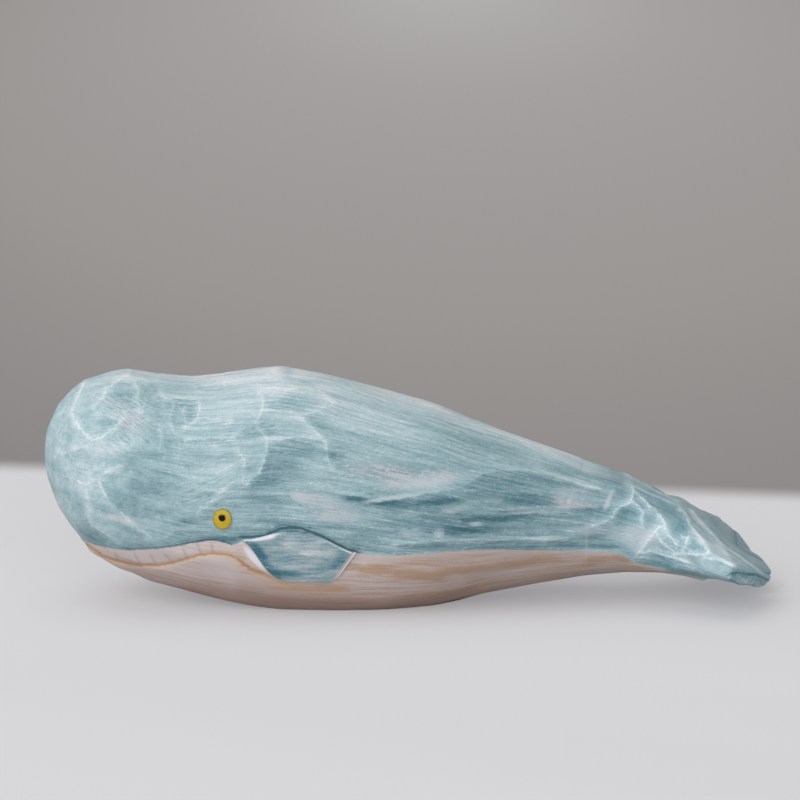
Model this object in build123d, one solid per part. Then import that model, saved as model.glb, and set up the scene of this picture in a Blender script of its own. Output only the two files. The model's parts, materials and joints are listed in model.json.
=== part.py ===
from build123d import *
import math
import os

# A hand-carved, hand-painted wooden whale. X runs from the nose to the flukes, Z is up, and the whale lies on a flat
# that is cut on its belly. The origin is in the middle of its footprint, at the height of the table.
# The carver glues a tail block to the trunk block over a dowel, carves both as one form, then cuts the mouth and the
# seats of the flippers and the eyes.

# Driving sizes of the whole, in millimetres
LENGTH = 150.0
HEIGHT = 48.0
WIDTH = 48.0
FLUKE_SPAN = 45.0

# Head dome
DOME_LENGTH = 22.0
NOSE_HEIGHT = 30.5

# Knife work: how deep a chip goes at most, the least that is worth a cut, and how far the cuts wander along the grain
CHIP_DEPTH = 0.5
CHIP_LEAST = 0.06
STROKE_WANDER = 1.1

# Tail joint
JOINT_FROM_NOSE = 110.7
DOWEL_DIAMETER = 6.0
DOWEL_LENGTH = 24.0
DOWEL_END_GAP = 0.5
DOWEL_CHAMFER = 0.6

# Mouth
MOUTH_STEP = 0.35
LIP_LINE_WIDTH = 0.7
LIP_LINE_DEPTH = 0.65
TOOTH_CUT_WIDTH = 0.55
TOOTH_CUT_HEIGHT = 3.4
TOOTH_CUT_LEAN = 0.7

# Flipper
FLIPPER_FROM_NOSE = 41.2
FLIPPER_LENGTH = 23.1
FLIPPER_FOOT = 7.7
FLIPPER_HEIGHT = 11.2
FLIPPER_SEAT = 0.6
FLIPPER_PROUD = 0.8

# Eye
EYE_FROM_NOSE = 37.5
EYE_HEIGHT = 21.4
EYE_WIDTH = 3.8
EYE_TALL = 4.3
EYE_SEAT = 0.9
EYE_PROUD = 0.5
EYE_CROWN = 0.35
PUPIL_DIAMETER = 1.4
PUPIL_SEAT = 0.3
PUPIL_PROUD = 0.1
PUPIL_ABOVE = 0.3

# One overrun serves every cut
OVERRUN = 5.0

# Counts, and the turns between the wanderings of neighbouring cuts in degrees
SECTION_SIDES = 20
DOME_STEPS = 5
SIDE_TURN = 137.5
ROW_TURN = 97.4

# One row for each line across the block: place along the length from the nose, height of the back, height of the
# keel, half width, and fullness, where 2 is an ellipse and more is squarer. Heights are shares of HEIGHT. Half widths
# are shares of WIDTH on the trunk and of FLUKE_SPAN on the flukes, where the last number is how far the tips rise.
trunk_shares = [
    (0.200, 0.955, 0.042, 0.480, 2.15),
    (0.260, 0.977, -0.010, 0.492, 2.20),
    (0.325, 0.998, -0.048, 0.500, 2.25),
    (0.395, 0.958, -0.060, 0.496, 2.25),
    (0.465, 0.894, -0.053, 0.476, 2.25),
    (0.535, 0.834, -0.026, 0.445, 2.20),
    (0.605, 0.750, 0.032, 0.390, 2.15),
    (0.670, 0.674, 0.068, 0.332, 2.15),
    (0.738, 0.590, 0.104, 0.280, 2.20),
    (0.790, 0.535, 0.121, 0.272, 2.30),
]
fluke_shares = [
    (0.835, 0.462, 0.131, 0.318, 2.60, 0.000),
    (0.870, 0.398, 0.131, 0.375, 3.20, 0.008),
    (0.900, 0.320, 0.125, 0.452, 4.00, 0.018),
    (0.930, 0.244, 0.118, 0.515, 5.00, 0.028),
    (0.960, 0.166, 0.095, 0.540, 5.00, 0.028),
    (0.985, 0.110, 0.050, 0.540, 5.00, 0.024),
    (1.010, 0.052, 0.034, 0.540, 5.00, 0.020),
]
head_row_shares = (0.974, 0.083, 0.458, 2.10)

# A chip takes at most this much of the edges that run to its corner
chip_reach_share = 0.42

# Rear edge of each fluke from above, from the tip to the middle: along the length, and out from the middle as a share
# of FLUKE_SPAN. The two lobes are cut by eye, so they differ a little.
left_lobe_shares = [(0.905, 0.60), (0.930, 0.510), (0.950, 0.425), (0.971, 0.285), (0.987, 0.135), (0.996, 0.035)]
right_lobe_shares = [(0.925, 0.60), (0.960, 0.490), (0.983, 0.400), (0.995, 0.240), (0.999, 0.150), (1.000, 0.080)]
notch_share = (0.968, 0.012)

# Mouth: the edge of the upper lip and the line of the lower lip, along the length and up the height. Both start ahead
# of the head, so they run out round its front.
upper_lip_shares = [(0.012, 0.352), (0.036, 0.338), (0.059, 0.308), (0.082, 0.291), (0.110, 0.285), (0.145, 0.290),
                    (0.179, 0.308), (0.206, 0.337), (0.230, 0.346), (0.247, 0.340), (0.262, 0.322)]
lower_lip_shares = [(0.012, 0.300), (0.036, 0.294), (0.057, 0.280), (0.073, 0.252), (0.101, 0.217), (0.143, 0.208),
                    (0.171, 0.228), (0.199, 0.261), (0.226, 0.286), (0.247, 0.292), (0.262, 0.277)]
lip_tail_shares = [(0.262, 0.277), (0.276, 0.252), (0.300, 0.205), (0.333, 0.165), (0.367, 0.145), (0.395, 0.136)]
tooth_shares = [(0.087, 0.258), (0.108, 0.246), (0.133, 0.248), (0.155, 0.260), (0.177, 0.276), (0.199, 0.296),
                (0.218, 0.312), (0.237, 0.320)]

# Flipper outline: along its length from the front, and up its height
flipper_top_shares = [(0.0, 0.86), (0.165, 0.895), (0.29, 0.97), (0.43, 1.0), (0.60, 0.95), (0.77, 0.81), (0.92, 0.65),
                      (1.0, 0.60)]
flipper_rear_shares = [(1.0, 0.60), (0.95, 0.46), (0.87, 0.22), (0.765, 0.0)]
flipper_front_shares = [(0.765, 0.0), (0.593, 0.015), (0.463, 0.03), (0.372, 0.045), (0.312, 0.09), (0.247, 0.20),
                        (0.16, 0.44), (0.075, 0.72), (0.0, 0.86)]

joint_x = JOINT_FROM_NOSE - LENGTH / 2
joint_z = HEIGHT * (trunk_shares[8][1] + trunk_shares[8][2]) / 2


def along_x(share):
    return (share - 0.5) * LENGTH


def side_point(share):
    """A point of the side view, in the plane that stands along the length."""
    return (along_x(share[0]), share[1] * HEIGHT)


def superellipse(reach, fullness, turn):
    """One coordinate of a superellipse, where turn is the cosine or sine of the angle."""
    return math.copysign(reach * abs(turn) ** (2 / fullness), turn)


def section_points(x, back, keel, half_width, fullness, lift, row):
    """Corners of a closed section across the block, from the keel round by the right flank. The hand of the carver
    wanders a little along the length from one corner to the next."""
    middle = (back + keel) / 2
    half_height = (back - keel) / 2
    points = []
    for step in range(SECTION_SIDES):
        angle = 2 * math.pi * (step + 0.5) / SECTION_SIDES - math.pi / 2
        wander = STROKE_WANDER * math.sin(math.radians(SIDE_TURN * step + ROW_TURN * row))
        y = superellipse(half_width, fullness, math.cos(angle))
        z = middle + superellipse(half_height, fullness, math.sin(angle)) + lift * (y / half_width) ** 2
        points.append(Vector(x + wander, y, z))
    return points


def sections():
    """Every section from the head to past the flukes, as sizes."""
    back, keel, half, fullness = head_row_shares
    rows = [(DOME_LENGTH - LENGTH / 2, back * HEIGHT, keel * HEIGHT, half * WIDTH, fullness, 0)]
    for along, back, keel, half, fullness in trunk_shares:
        rows.append((along_x(along), back * HEIGHT, keel * HEIGHT, half * WIDTH, fullness, 0))
    for along, back, keel, half, fullness, lift in fluke_shares:
        rows.append((along_x(along), back * HEIGHT, keel * HEIGHT, half * FLUKE_SPAN, fullness, lift * HEIGHT))
    return rows


def dome_sections(x, back, keel, half_width, fullness, lift):
    """The round front of the head: a quarter ellipse from the nose back to the first full section."""
    middle = (back + keel) / 2
    rows = []
    for step in range(1, DOME_STEPS + 1):
        angle = math.pi / 2 * step / (DOME_STEPS + 1)
        ahead = math.cos(angle)
        reach = math.sin(angle)
        centre = middle + (NOSE_HEIGHT - middle) * ahead
        top = centre + (back - middle) * reach
        bottom = centre - (middle - keel) * reach
        rows.append((x - DOME_LENGTH * ahead, top, bottom, half_width * reach, fullness, lift))
    return rows


def skin_rings(grow):
    """Rings of corners from the nose to past the flukes, with the sides, back and keel moved out by grow."""
    full = sections()
    dome = dome_sections(*full[0])
    rings = []
    for row, (x, back, keel, half, fullness, lift) in enumerate(dome + full):
        ring = section_points(x, back + grow, keel - grow, half + grow, fullness, lift, row)
        if row < len(dome) - 2:
            ring = [Vector(x, point.Y, point.Z) for point in ring]
        rings.append(ring)
    nose = Vector(full[0][0] - DOME_LENGTH - grow, 0, NOSE_HEIGHT)
    return nose, rings


def skin(grow):
    """Corners of the skin by row and step, and its flat facets as corners in turn, seen from outside."""
    nose, rings = skin_rings(grow)
    last = len(rings) - 1
    tip, end = (-1, 0), (last + 1, 0)
    corners = {(row, step): point for row, ring in enumerate(rings) for step, point in enumerate(ring)}
    corners[tip] = nose
    corners[end] = sum(rings[-1], Vector()) / SECTION_SIDES
    facets = []
    for step in range(SECTION_SIDES):
        after = (step + 1) % SECTION_SIDES
        facets += [(tip, (0, after), (0, step)), (end, (last, step), (last, after))]
        for row in range(last):
            here, beside, there, beyond = (row, step), (row, after), (row + 1, step), (row + 1, after)
            if (row + step) % 2:
                facets += [(here, beyond, there), (here, beside, beyond)]
            else:
                facets += [(here, beside, there), (beside, beyond, there)]
    return corners, facets


def neighbours(facets):
    """For each corner, the corner at the end of each of its edges, and the one that follows round it."""
    follow = {}
    for facet in facets:
        for turn in range(3):
            key, this, then = facet[turn:] + facet[:turn]
            follow.setdefault(key, {})[this] = then
    return follow


def in_turn(follow):
    """The neighbours of one corner in order round it."""
    order = [next(iter(follow))]
    while follow[order[-1]] != order[0]:
        order.append(follow[order[-1]])
    return order


def knife_cuts(corners, follow):
    """Where a flat chip crosses each edge of its corner, for every corner of the upper half that can lose one."""
    cuts = {}
    for key, point in corners.items():
        turn = (key[1] + 0.5) / SECTION_SIDES
        if turn < 0.25 or turn > 0.75:
            continue
        outward = Vector()
        for this, then in follow[key].items():
            outward += (corners[this] - point).cross(corners[then] - point)
        outward = outward.normalized()
        drops = {other: (point - corners[other]).dot(outward) for other in in_turn(follow[key])}
        depth = min(CHIP_DEPTH, chip_reach_share * min(drops.values()))
        if depth > CHIP_LEAST:
            cuts[key] = {other: point + (corners[other] - point) * (depth / drop) for other, drop in drops.items()}
    return cuts


def whale_form(grow=0.0, chipped=False):
    """The whole skin as a solid in flat facets, on request with the flat knife chips that take off its corners."""
    corners, facets = skin(grow)
    cuts = knife_cuts(corners, neighbours(facets)) if chipped else {}
    outlines = [list(chip.values()) for chip in cuts.values()]
    for facet in facets:
        outline = []
        for turn in range(3):
            key, after, before = facet[turn:] + facet[:turn]
            if key in cuts:
                outline += [cuts[key][before], cuts[key][after]]
            else:
                outline.append(corners[key])
        outlines.append(outline)
    return Solid(Shell([Face(Wire.make_polygon(outline, close=True)) for outline in outlines]))


def trunk_room():
    """All the room ahead of the tail joint and above the table."""
    front = -LENGTH / 2 - OVERRUN
    room = Box(joint_x - front, WIDTH + 2 * OVERRUN, HEIGHT + OVERRUN, align=(Align.MIN, Align.CENTER, Align.MIN))
    return Pos(front, 0, 0) * room


def lobe_curve(shares, side):
    return [(along_x(along), side * out * FLUKE_SPAN) for along, out in shares]


def fluke_plan():
    """The tail block from above, with the rear edge of both lobes and the notch between them."""
    left = lobe_curve(left_lobe_shares, -1)
    right = lobe_curve(right_lobe_shares, 1)
    notch = (along_x(notch_share[0]), notch_share[1] * FLUKE_SPAN)
    edges = Spline(left) + Line(left[-1], notch) + Line(notch, right[-1]) + Spline(list(reversed(right)))
    edges += Polyline(right[0], (joint_x, right[0][1]), (joint_x, left[0][1]), left[0])
    return extrude(make_face(edges), HEIGHT)


def dowel_axis():
    return Pos(joint_x, 0, joint_z) * Rot(0, 90, 0)


def dowel_bore():
    return dowel_axis() * Cylinder(DOWEL_DIAMETER / 2, DOWEL_LENGTH + 2 * DOWEL_END_GAP)


def tail_dowel():
    pin = Cylinder(DOWEL_DIAMETER / 2, DOWEL_LENGTH)
    return dowel_axis() * chamfer(pin.edges().filter_by(GeomType.CIRCLE), DOWEL_CHAMFER)


def side_cut(face, depth):
    """A cut straight in from both sides, as deep as depth under the skin."""
    return extrude(face, WIDTH / 2 + OVERRUN, both=True) - whale_form(-depth)


def strip(points, width):
    """A band along a line of the side view, with square ends."""
    upper = [(x, z + width / 2) for x, z in points]
    lower = [(x, z - width / 2) for x, z in points]
    edges = Spline(upper) + Line(upper[-1], lower[-1]) + Spline(list(reversed(lower))) + Line(lower[0], upper[0])
    return Plane.XZ * make_face(edges)


def mouth_step():
    """The tooth row stands back from the upper lip, between the two lip lines."""
    upper = [side_point(share) for share in upper_lip_shares]
    lower = [side_point(share) for share in lower_lip_shares]
    edges = Spline(upper) + Line(upper[-1], lower[-1]) + Spline(list(reversed(lower))) + Line(lower[0], upper[0])
    return side_cut(Plane.XZ * make_face(edges), MOUTH_STEP)


def tooth_cut(share):
    """One slit between two teeth, leaning back at its top."""
    x, z = side_point(share)
    lean = TOOTH_CUT_LEAN / 2
    rise = TOOTH_CUT_HEIGHT / 2
    half = TOOTH_CUT_WIDTH / 2
    corners = [(x - lean - half, z - rise), (x - lean + half, z - rise), (x + lean + half, z + rise),
               (x + lean - half, z + rise)]
    return Plane.XZ * make_face(Polyline(*corners, close=True))


def mouth_lines():
    """The lower lip line with its tail under the flipper, and the slits between the teeth."""
    lower = [side_point(share) for share in lower_lip_shares]
    tail = [side_point(share) for share in lip_tail_shares]
    lines = strip(lower, LIP_LINE_WIDTH) + strip(tail, LIP_LINE_WIDTH)
    for share in tooth_shares:
        lines += tooth_cut(share)
    return side_cut(lines, LIP_LINE_DEPTH)


def flank_point(form, x, z, side):
    """Where a straight line in from that side meets the skin."""
    chord = form.intersect(Edge.make_line((x, 0, z), (x, side * WIDTH, z)))
    outer = max(chord.vertices(), key=lambda vertex: side * vertex.Y)
    return Vector(outer.X, outer.Y, outer.Z)


def flank_plane(form, spots, side, middle):
    """A plane through three places of the flank, facing outwards and upright, with its origin over middle."""
    a, b, c = (flank_point(form, x, z, side) for x, z in spots)
    normal = (b - a).cross(c - a).normalized()
    if normal.Y * side < 0:
        normal = -normal
    x, z = middle
    y = a.Y - (normal.X * (x - a.X) + normal.Z * (z - a.Z)) / normal.Y
    return Plane(origin=(x, y, z), x_dir=(-normal.Y, normal.X, 0), z_dir=normal)


def flipper_point(share):
    return (FLIPPER_FROM_NOSE - LENGTH / 2 + share[0] * FLIPPER_LENGTH, FLIPPER_FOOT + share[1] * FLIPPER_HEIGHT)


def flipper_room(form, side):
    """The room of one flipper: its outline straight in from the side, down to a flat seat cut in the flank."""
    curves = [[flipper_point(share) for share in shares]
              for shares in (flipper_top_shares, flipper_rear_shares, flipper_front_shares)]
    outline = Spline(curves[0]) + Spline(curves[1]) + Spline(curves[2])
    face = Plane.XZ * make_face(outline)
    prism = extrude(face, -side * (WIDTH / 2 + OVERRUN))
    spots = (curves[0][1], curves[0][-1], curves[2][1])
    seat = flank_plane(form, spots, side, flipper_point((0.5, 0.5)))
    reach = FLIPPER_LENGTH + OVERRUN
    above = Box(2 * reach, 2 * reach, WIDTH, align=(Align.CENTER, Align.CENTER, Align.MIN))
    return prism & (seat.offset(-FLIPPER_SEAT) * above)


def flipper(room):
    """The slip itself follows the flank and stands proud of it."""
    return room & whale_form(FLIPPER_PROUD)


def eye_plane(form, side):
    x = EYE_FROM_NOSE - LENGTH / 2
    spots = ((x - EYE_WIDTH / 2, EYE_HEIGHT - EYE_TALL / 2), (x + EYE_WIDTH / 2, EYE_HEIGHT - EYE_TALL / 2),
             (x, EYE_HEIGHT + EYE_TALL / 2))
    return flank_plane(form, spots, side, (x, EYE_HEIGHT))


def eye_oval(plane, start, end):
    """An oval block between two heights over the plane of the eye."""
    return plane.offset(start) * extrude(Ellipse(EYE_WIDTH / 2, EYE_TALL / 2), end - start)


def pupil_block(plane, end):
    start = EYE_PROUD - PUPIL_SEAT
    centre = plane.offset(start) * Pos(0, PUPIL_ABOVE, 0)
    return centre * Cylinder(PUPIL_DIAMETER / 2, end - start, align=(Align.CENTER, Align.CENTER, Align.MIN))


def eye(plane):
    """A domed oval bead with a flat-bottomed seat for the pupil."""
    radius = ((EYE_TALL / 2) ** 2 + EYE_CROWN**2) / (2 * EYE_CROWN)
    dome = plane.offset(EYE_PROUD - radius) * Sphere(radius)
    bead = eye_oval(plane, -EYE_SEAT, EYE_PROUD + OVERRUN) & dome
    return bead - pupil_block(plane, EYE_PROUD + OVERRUN)


def main():
    form = whale_form()
    carved = whale_form(chipped=True)
    trunk = carved & trunk_room()
    trunk -= mouth_step()
    trunk -= mouth_lines()
    pieces = {}
    for name, side in (("left", -1), ("right", 1)):
        room = flipper_room(form, side)
        sight = eye_plane(form, side)
        trunk -= room
        trunk -= eye_oval(sight, -EYE_SEAT, EYE_PROUD + OVERRUN)
        pieces["flipper_" + name] = flipper(room)
        pieces["eye_" + name] = eye(sight)
        pieces["pupil_" + name] = pupil_block(sight, EYE_PROUD + PUPIL_PROUD)
    pieces["body"] = trunk - dowel_bore()
    pieces["tail"] = (carved & fluke_plan()) - dowel_bore()
    pieces["tail_dowel"] = tail_dowel()
    os.makedirs("parts", exist_ok=True)
    for name, piece in pieces.items():
        piece.label = name
        export_step(piece, f"parts/{name}.step")
        box = piece.bounding_box()
        print(name, "solids", len(piece.solids()), "faces", len(piece.faces()), "volume", round(piece.volume, 1),
              "size", [round(size, 2) for size in box.size])


main()
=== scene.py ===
# %% [markdown]
# # A hand-carved whale, painted in thin blue washes
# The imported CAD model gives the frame: every size and place comes from it. This lesson gives it its looks: the
# hollows that the knife left, the brushed paint worn white on the ridges, and the two thick painted eyes.

# %% Load the frame
import json
import math
import bpy
import numpy as np
from mathutils import Matrix, Vector

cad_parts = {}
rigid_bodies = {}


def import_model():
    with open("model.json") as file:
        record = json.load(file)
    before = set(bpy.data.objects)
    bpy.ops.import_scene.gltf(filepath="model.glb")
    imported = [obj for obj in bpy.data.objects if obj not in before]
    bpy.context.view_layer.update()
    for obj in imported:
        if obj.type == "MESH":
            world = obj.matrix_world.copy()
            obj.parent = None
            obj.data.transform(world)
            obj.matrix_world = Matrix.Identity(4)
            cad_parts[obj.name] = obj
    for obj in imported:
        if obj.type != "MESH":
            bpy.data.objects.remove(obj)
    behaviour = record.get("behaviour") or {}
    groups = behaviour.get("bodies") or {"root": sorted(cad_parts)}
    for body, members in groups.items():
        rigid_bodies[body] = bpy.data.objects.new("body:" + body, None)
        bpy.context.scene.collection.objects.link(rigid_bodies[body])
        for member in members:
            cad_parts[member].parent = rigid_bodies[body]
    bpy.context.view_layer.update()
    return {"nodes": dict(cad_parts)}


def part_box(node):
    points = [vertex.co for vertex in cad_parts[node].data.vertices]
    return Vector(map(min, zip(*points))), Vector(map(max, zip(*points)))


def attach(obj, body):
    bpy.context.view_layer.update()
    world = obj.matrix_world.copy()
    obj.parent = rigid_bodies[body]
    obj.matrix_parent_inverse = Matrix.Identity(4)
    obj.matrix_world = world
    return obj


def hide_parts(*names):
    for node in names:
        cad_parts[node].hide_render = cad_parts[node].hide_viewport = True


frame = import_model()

MM = 0.001

# %% [markdown]
# ## The camera
# The photographer stood about 0.8 m away and looked down by some 11 degrees with a long lens. The camera comes first,
# because the ridges and brush marks below are placed by the pixel where the photograph shows them.

# %% Camera
PICTURE = 800
SENSOR = 36
FOCAL_PIXELS = 3896.0
EYE_POINT = Vector((-2.05, -782.5, 190.3)) * MM
PITCH = math.radians(10.79)

bpy.ops.object.camera_add(location=EYE_POINT, rotation=(math.pi / 2 - PITCH, 0, 0))
camera = bpy.context.object
camera.name = "photo_camera"
camera.data.sensor_width = SENSOR
camera.data.lens = SENSOR * FOCAL_PIXELS / PICTURE
camera.data.clip_start = 0.05
camera.data.clip_end = 20
scene = bpy.context.scene
scene.camera = camera
print("lens", round(camera.data.lens, 1), "mm")

# %% [markdown]
# Two helpers turn places into pixels of the photograph. A place on the hidden right side is mirrored first, so that
# the unseen side gets the same handwork as the seen one. A third measures the gap to lines drawn on the photograph.

# %% From places to pixels
PIXELS_PER_MM = 4.87
FAR_OFF = 1e9


def to_pixels(places):
    """Pixels (across, down) of places in metres, as the photograph's camera sees them."""
    away = places - np.array(EYE_POINT)
    depth = away[:, 1] * math.cos(PITCH) - away[:, 2] * math.sin(PITCH)
    rise = away[:, 1] * math.sin(PITCH) + away[:, 2] * math.cos(PITCH)
    middle = PICTURE / 2
    return np.stack([middle + FOCAL_PIXELS * away[:, 0] / depth, middle - FOCAL_PIXELS * rise / depth], 1)


def near_side(places):
    """The same places, mirrored to the whale's left side."""
    return places * (1, -1, 1) * np.where(places[:, 1:2] > 0, (1, 1, 1), (1, -1, 1))


def beside_lines(pixels, lines):
    """Gap in millimetres from each pixel to the nearest of some broken lines, plain and with a sign for its side."""
    nearest = np.full(len(pixels), FAR_OFF)
    signed = nearest
    for line in lines:
        points = np.array(line, float)
        for start, end in zip(points[:-1], points[1:]):
            along = end - start
            offset = pixels - start
            share = np.clip(offset @ along / (along @ along), 0, 1)
            gap = np.linalg.norm(offset - share[:, None] * along, axis=1)
            across = along[0] * offset[:, 1] - along[1] * offset[:, 0]
            signed = np.where(gap < nearest, np.where(across > 0, gap, -gap), signed)
            nearest = np.minimum(nearest, gap)
    return nearest / PIXELS_PER_MM, signed / PIXELS_PER_MM


print("the middle of the table is seen at pixel", to_pixels(np.zeros((1, 3)))[0].round())

# %% [markdown]
# ## One skin for both blocks
# The carver glued the tail block on and then carved both as one form, so the surface runs over the joint without a
# step. The same is done here: copies of both CAD blocks are joined, remeshed into small even squares and smoothed, and
# only at the end is the skin cut at the joint. Copies of the flippers and eyes, pushed in, first fill their seats,
# and the dowel fills its bore.

# %% Copy and join
JOINT_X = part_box("tail")[0].x
FLIPPER_FILL = 0.75
EYE_FILL = 0.45
WELD = 0.002 * MM


def only(*objects):
    """Selects these objects alone, the first of them active."""
    bpy.ops.object.select_all(action="DESELECT")
    for thing in objects:
        thing.select_set(True)
    bpy.context.view_layer.objects.active = objects[0]


def edit_all(thing, tool, **settings):
    """Runs one mesh tool on the whole of an object."""
    only(thing)
    bpy.ops.object.mode_set(mode="EDIT")
    bpy.ops.mesh.select_all(action="SELECT")
    tool(**settings)
    bpy.ops.object.mode_set(mode="OBJECT")


def copy_of(node, name, shift=(0, 0, 0)):
    """A merged copy of a CAD node as a new object."""
    thing = bpy.data.objects.new(name, frame["nodes"][node].data.copy())
    scene.collection.objects.link(thing)
    thing.data.materials.clear()
    thing.data.transform(Matrix.Translation(Vector(shift) * MM))
    edit_all(thing, bpy.ops.mesh.remove_doubles, threshold=WELD)
    return thing


def modify(thing, kind, **settings):
    """Adds a modifier with its settings and applies it."""
    only(thing)
    step = thing.modifiers.new(kind.lower(), kind)
    for key, value in settings.items():
        setattr(step, key, value)
    bpy.ops.object.modifier_apply(modifier=step.name)


parts = [copy_of("body", "skin"), copy_of("tail", "tail_copy"), copy_of("tail_dowel", "dowel_copy")]
for kind, fill in (("flipper", FLIPPER_FILL), ("eye", EYE_FILL)):
    for side, inward in (("left", 1), ("right", -1)):
        parts.append(copy_of(f"{kind}_{side}", f"{kind}_fill_{side}", (0, inward * fill, 0)))
only(*parts)
bpy.ops.object.join()
skin = bpy.context.object
print("joined skin:", len(skin.data.polygons), "faces")

# %% [markdown]
# A voxel remesh lays one closed skin of even squares over the copies, and shells left inside are dropped. Wood rubbed
# with cloth has soft facets, so the skin is smoothed. Only the thin flukes aren't, because they would shrink.

# %% Remesh and smooth
SKIN_SQUARE = 0.475 * MM
SMOOTH_ROUNDS = 70
LAST_ROUNDS = 5
FACETS_KEPT = 0.40

modify(skin, "REMESH", mode="VOXEL", voxel_size=SKIN_SQUARE)
bpy.ops.object.mode_set(mode="EDIT")
bpy.ops.mesh.select_all(action="DESELECT")
bpy.ops.object.mode_set(mode="OBJECT")
max(skin.data.vertices, key=lambda vertex: vertex.co.z).select = True
bpy.ops.object.mode_set(mode="EDIT")
bpy.ops.mesh.select_linked()
bpy.ops.mesh.select_all(action="INVERT")
bpy.ops.mesh.delete(type="VERT")
bpy.ops.object.mode_set(mode="OBJECT")


def vertices_of(thing, what="co"):
    """The places of all vertices as one array, or their normals."""
    flat = np.zeros(len(thing.data.vertices) * 3)
    thing.data.vertices.foreach_get(what, flat)
    return flat.reshape(-1, 3)


def put_places(thing, places):
    """Moves all vertices of a mesh to these places."""
    thing.data.vertices.foreach_set("co", places.ravel())
    thing.data.update()


def step_up(value, low, high):
    """0 below low, 1 above high, and a smooth rise between."""
    share = np.clip((value - low) / (high - low), 0, 1)
    return share * share * (3 - 2 * share)


faceted = vertices_of(skin)
modify(skin, "SMOOTH", factor=0.5, iterations=SMOOTH_ROUNDS)
thin = step_up(faceted[:, 0] / MM, 42, 58)[:, None]
kept_share = FACETS_KEPT + (1 - FACETS_KEPT) * thin
put_places(skin, vertices_of(skin) * (1 - kept_share) + faceted * kept_share)
modify(skin, "SMOOTH", factor=0.5, iterations=LAST_ROUNDS)
print("smooth skin:", len(skin.data.vertices), "vertices")

# %% [markdown]
# ## Crests between the knife cuts
# Each cut of the gouge leaves a shallow hollow, and where two hollows meet a crest stays. The paint is rubbed off those
# crests, so the photograph shows them as pale lines. They are written down here as broken lines in pixels. Each has
# first how strongly it is rubbed, and then how much darker the paint is made on its left and on its right, as seen by
# someone who walks along it: thin paint runs off one side of a crest and gathers on the other, and the same darkening
# also paints the shade that the facet on that side catches.

# %% Where the crests run
head_crests = [
    (0.9, 0.12, -0.04, [(84, 384), (81, 392), (76, 403), (72, 413), (76, 421), (81, 429), (89, 438)]),
    (0.9, 0.0, 0.05, [(89, 438), (94, 440), (102, 438), (110, 432), (118, 425), (124, 418)]),
    (0.8, 0.12, -0.06, [(128, 375), (118, 382), (107, 390), (104, 398), (97, 405), (93, 408), (99, 413)]),
    (0.7, 0.12, 0.0, [(134, 382), (139, 391), (137, 400), (141, 412)]),
    (0.9, 0.0, 0.16, [(161, 394), (163, 398), (171, 400), (177, 398), (187, 399), (196, 400), (200, 405), (198, 416),
        (195, 421), (187, 427)]),
    (0.6, 0.0, 0.08, [(189, 401), (183, 411), (185, 421), (184, 429)]),
    (0.5, 0.08, 0.0, [(174, 403), (172, 413), (171, 424), (174, 434)]),
    (0.5, 0.0, 0.08, [(137, 416), (150, 421), (159, 426), (161, 435), (160, 450)]),
    (0.4, 0.0, 0.06, [(179, 440), (179, 450), (177, 462)]),
    (0.8, -0.04, 0.12, [(187, 440), (198, 439), (212, 438), (230, 439), (238, 435)]),
    (0.7, 0.0, 0.06, [(198, 418), (208, 419), (219, 420), (230, 422)]),
    (0.5, 0.0, 0.1, [(59, 450), (62, 454), (72, 451), (86, 446)]),
    (0.8, 0.14, -0.06, [(99, 478), (102, 488), (108, 498), (115, 507), (128, 518), (140, 528), (152, 538)]),
    (0.8, 0.0, 0.1, [(99, 478), (107, 472), (118, 466)]),
    (0.5, -0.06, 0.08, [(87, 488), (87, 504), (88, 516), (93, 526), (105, 533), (117, 540)]),
    (0.6, 0.0, 0.0, [(228, 486), (220, 494), (208, 506), (198, 512)]),
    (0.4, 0.0, 0.0, [(152, 538), (164, 537), (171, 532)]),
    (0.6, 0.0, 0.08, [(72, 477), (80, 482), (86, 486), (97, 479)]),
    (0.4, 0.0, 0.0, [(140, 412), (146, 402), (160, 395)]),
]
back_crests = [
    (0.4, 0.06, 0.0, [(276, 370), (276, 376), (288, 384), (297, 388)]),
    (0.4, 0.0, 0.06, [(257, 384), (264, 389), (277, 388)]),
    (0.7, 0.06, 0.0, [(261, 392), (264, 400), (262, 412), (256, 422), (261, 431), (268, 440)]),
    (0.8, 0.26, -0.06, [(268, 440), (267, 450), (264, 461), (260, 473), (246, 485)]),
    (0.6, -0.05, 0.26, [(268, 440), (279, 440), (293, 438), (310, 439), (326, 440)]),
    (0.7, 0.1, -0.06, [(264, 409), (275, 411), (289, 412), (300, 416), (308, 424), (315, 431), (324, 440)]),
    (0.5, 0.14, 0.0, [(326, 441), (327, 452), (328, 461), (333, 468)]),
    (0.5, 0.0, 0.12, [(279, 398), (286, 392), (295, 389), (307, 388), (317, 390), (326, 397), (333, 405)]),
    (0.5, 0.14, -0.04, [(333, 405), (317, 412), (303, 416)]),
    (0.6, 0.0, 0.0, [(220, 440), (230, 440), (236, 445), (238, 452), (245, 459), (244, 469), (243, 483)]),
    (0.5, 0.0, 0.0, [(230, 437), (241, 430), (256, 422)]),
]
flank_crests = [
    (0.3, -0.14, 0.1, [(372, 503), (400, 499), (424, 494), (448, 490), (461, 487)]),
    (0.25, -0.06, 0.16, [(461, 487), (472, 481), (483, 474), (496, 472), (512, 471), (536, 472), (552, 476),
        (573, 483), (586, 489), (605, 491)]),
    (0.8, 0.0, 0.06, [(570, 531), (584, 530), (592, 526), (608, 521), (616, 513), (620, 508)]),
    (0.7, 0.1, 0.26, [(393, 545), (415, 542), (440, 540.5), (480, 539), (520, 538.5), (545, 539)]),
    (0.3, 0.0, 0.1, [(454, 519), (480, 515), (510, 512), (545, 510)]),
]
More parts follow.
